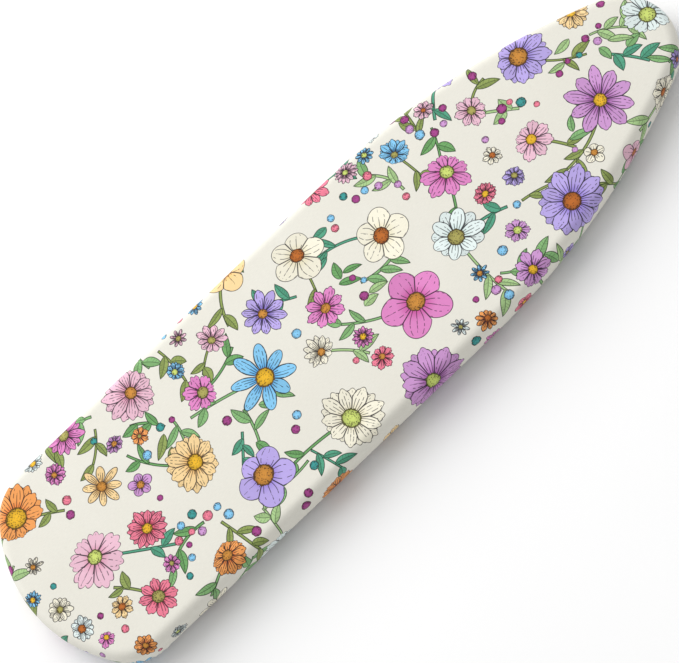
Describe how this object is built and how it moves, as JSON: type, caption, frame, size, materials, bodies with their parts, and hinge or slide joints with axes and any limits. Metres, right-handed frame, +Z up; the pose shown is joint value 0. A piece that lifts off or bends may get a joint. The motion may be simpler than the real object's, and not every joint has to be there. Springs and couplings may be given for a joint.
{
  "type": "ironing board",
  "caption": "Full-size ironing board with a padded fabric-covered steel top, folded flat on a crossed pair of tubular legs that open to working height.",
  "frame": {"origin": "on the floor under the middle of the board, lying folded with its top up", "axes": "+X from the square tail to the rounded nose, +Y across the board, +Z up"},
  "size_m": [1.3715, 0.381, 0.0672],
  "materials": {
    "cover_print": "printed cotton, matte",
    "felt": "needled felt",
    "elastic": "ribbed elastic",
    "sheet_steel": "satin powder coat",
    "rim_paint": "satin powder coat",
    "zinc_steel": "zinc plated",
    "rear_paint": "satin powder coat",
    "front_paint": "satin powder coat",
    "bright_steel": "bright",
    "shoe_rubber": "matte",
    "grey_plastic": "fine grain",
    "nylon": "smooth",
    "grip_plastic": "fine grain"
  },
  "bodies": {
    "rear_foot": {"rear_foot_bar": "rear_paint", "rear_shoe_left": "shoe_rubber", "rear_shoe_right": "shoe_rubber", "rear_foot_collars": "bright_steel"},
    "rear_leg": {"rear_leg_tube_left": "rear_paint", "rear_leg_tube_right": "rear_paint", "rear_leg_sleeves": "rear_paint", "rear_leg_end_plugs": "grey_plastic", "rear_leg_brace": "rear_paint", "brace_rivets": "bright_steel", "centre_pivot_rod": "bright_steel", "pivot_spacers": "nylon", "pivot_caps": "grey_plastic"},
    "front_leg": {"front_leg_tube_left": "front_paint", "front_leg_tube_right": "front_paint", "front_leg_sleeves": "front_paint", "front_leg_end_plugs": "grey_plastic", "front_leg_crossbar_upper": "front_paint", "front_leg_crossbar_lower": "front_paint", "slider_rod": "bright_steel", "slider_rod_clips": "bright_steel"},
    "front_foot": {"front_foot_bar": "front_paint", "front_shoe_left": "shoe_rubber", "front_shoe_right": "shoe_rubber", "front_foot_collars": "bright_steel"},
    "board": {"edge_rim": "rim_paint", "mesh_top": "sheet_steel", "foam_pad": "felt", "cover": "cover_print", "hem_elastic": "elastic", "track_left": "zinc_steel", "track_right": "zinc_steel", "track_stops": "grey_plastic", "height_rack": "zinc_steel", "rib_middle": "sheet_steel", "rib_front": "sheet_steel", "rib_nose": "sheet_steel", "leg_bumpers": "shoe_rubber", "hinge_bracket_left": "zinc_steel", "hinge_bracket_right": "zinc_steel", "hinge_pins": "bright_steel", "catch_rivet": "bright_steel"},
    "carriage": {"carriage_bracket": "zinc_steel", "carriage_shoe_left": "nylon", "carriage_shoe_right": "nylon", "shoe_screws": "bright_steel", "pawl_pin": "bright_steel"},
    "pawl": {"pawl": "bright_steel"},
    "lock_lever": {"lever_rod": "bright_steel", "lever_clip": "bright_steel", "lever_cam": "nylon", "lever_grip": "grip_plastic"},
    "storage_catch": {"storage_catch": "grey_plastic"}
  },
  "joints": [
    {"name": "leg_fold", "type": "hinge", "parent": "rear_foot", "child": "rear_leg", "pos_m": [-0.5958, 0, 0.018], "axis": [0, -1, 0], "range_deg": [0, 55]},
    {"name": "leg_cross", "type": "hinge", "parent": "rear_leg", "child": "front_leg", "pos_m": [-0.0758, 0, 0.018], "axis": [0, -1, 0], "range_deg": [-110, 0]},
    {"name": "board_hinge", "type": "hinge", "parent": "rear_leg", "child": "board", "pos_m": [0.4042, 0, 0.018], "axis": [0, -1, 0], "range_deg": [-55, 0]},
    {"name": "front_foot_turn", "type": "hinge", "parent": "front_leg", "child": "front_foot", "pos_m": [0.4442, 0, 0.018], "axis": [0, -1, 0], "range_deg": [0, 55]},
    {"name": "carriage_turn", "type": "hinge", "parent": "front_leg", "child": "carriage", "pos_m": [-0.5558, 0, 0.018], "axis": [0, -1, 0], "range_deg": [0, 55]},
    {"name": "lever_lift", "type": "hinge", "parent": "carriage", "child": "lock_lever", "pos_m": [-0.5258, 0, 0.0345], "axis": [0, -1, 0], "range_deg": [0, 15]},
    {"name": "pawl_lift", "type": "hinge", "parent": "carriage", "child": "pawl", "pos_m": [-0.5448, 0, 0.046], "axis": [0, -1, 0], "range_deg": [0, 6]},
    {"name": "catch_turn", "type": "hinge", "parent": "board", "child": "storage_catch", "pos_m": [0.2142, 0.054, 0.044], "axis": [0, 0, -1], "range_deg": [0, 90]}
  ],
  "couplings": [
    {"joint": "leg_cross", "follows": "leg_fold", "ratio": -2},
    {"joint": "board_hinge", "follows": "leg_fold", "ratio": -1},
    {"joint": "front_foot_turn", "follows": "leg_fold", "ratio": 1},
    {"joint": "carriage_turn", "follows": "leg_fold", "ratio": 1},
    {"joint": "pawl_lift", "follows": "lever_lift", "ratio": 0.4}
  ]
}
